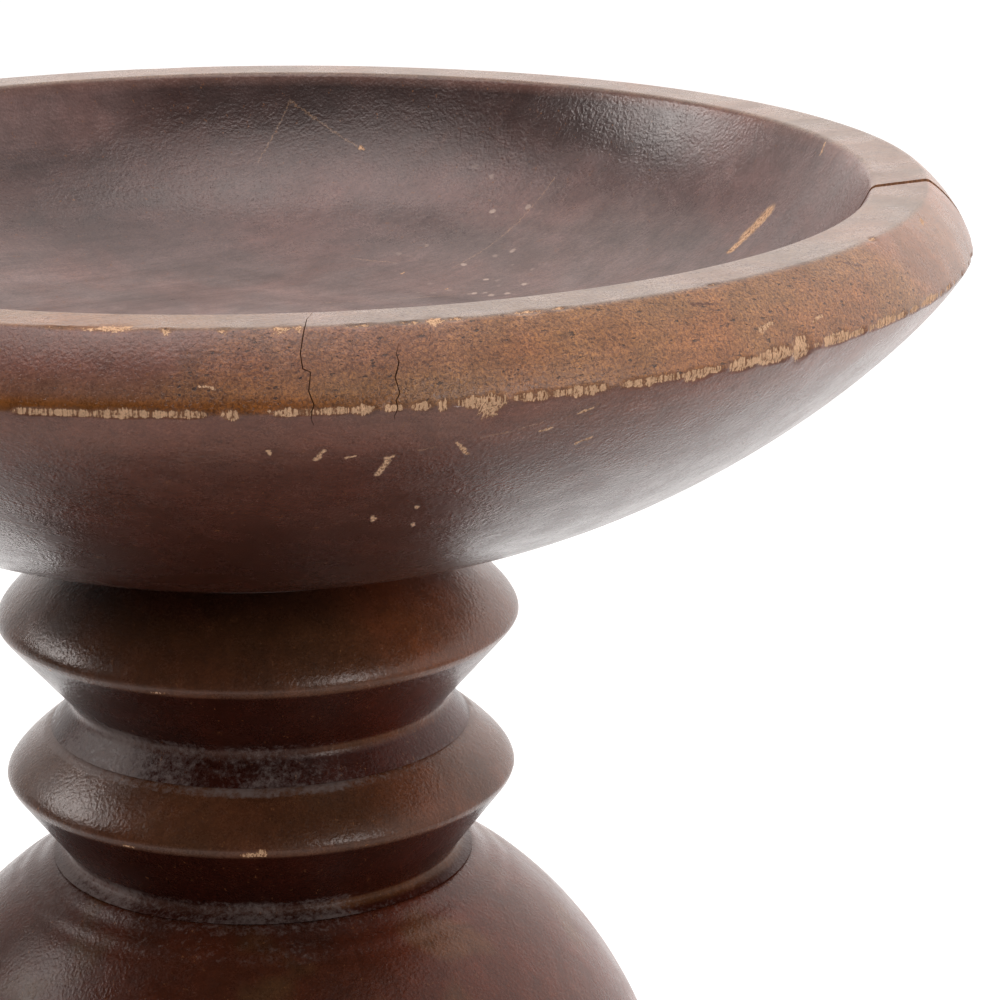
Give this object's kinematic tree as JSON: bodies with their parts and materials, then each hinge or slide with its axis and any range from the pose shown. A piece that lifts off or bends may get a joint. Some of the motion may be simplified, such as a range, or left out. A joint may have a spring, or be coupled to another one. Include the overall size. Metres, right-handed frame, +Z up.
{
  "type": "candlestick",
  "caption": "Turned wooden candlestick: a wide shallow dish with a bevelled rim on a stem of sharp ring knops and a large ball, over a spreading round foot with felt beneath.",
  "frame": {"origin": "centre of the felt's underside, on the surface that the candlestick stands on", "axes": "+Z up the turning axis, -Y to the front; the dish's glue lines run 26.5 degrees round from +X towards +Y"},
  "size_m": [0.26, 0.26, 0.3831],
  "materials": {
    "stained_wood": "satin dark brown stain, rubbed through to pale wood at the edges",
    "felt": "matt pressed felt",
    "zinc_plated_steel": "bright zinc plate",
    "insert_brass": "plain machined"
  },
  "bodies": {
    "root": {"dish_board_front": "stained_wood", "dish_board_middle": "stained_wood", "dish_board_rear": "stained_wood", "knop_under_dish": "stained_wood", "knop_above_ball": "stained_wood", "ball": "stained_wood", "knop_below_ball": "stained_wood", "knop_above_foot": "stained_wood", "foot_board_front": "stained_wood", "foot_board_middle": "stained_wood", "foot_board_rear": "stained_wood", "felt_disc": "felt", "tie_rod": "zinc_plated_steel", "flat_washer": "zinc_plated_steel", "spring_washer": "zinc_plated_steel", "hex_nut": "zinc_plated_steel", "threaded_insert": "insert_brass"}
  },
  "joints": []
}
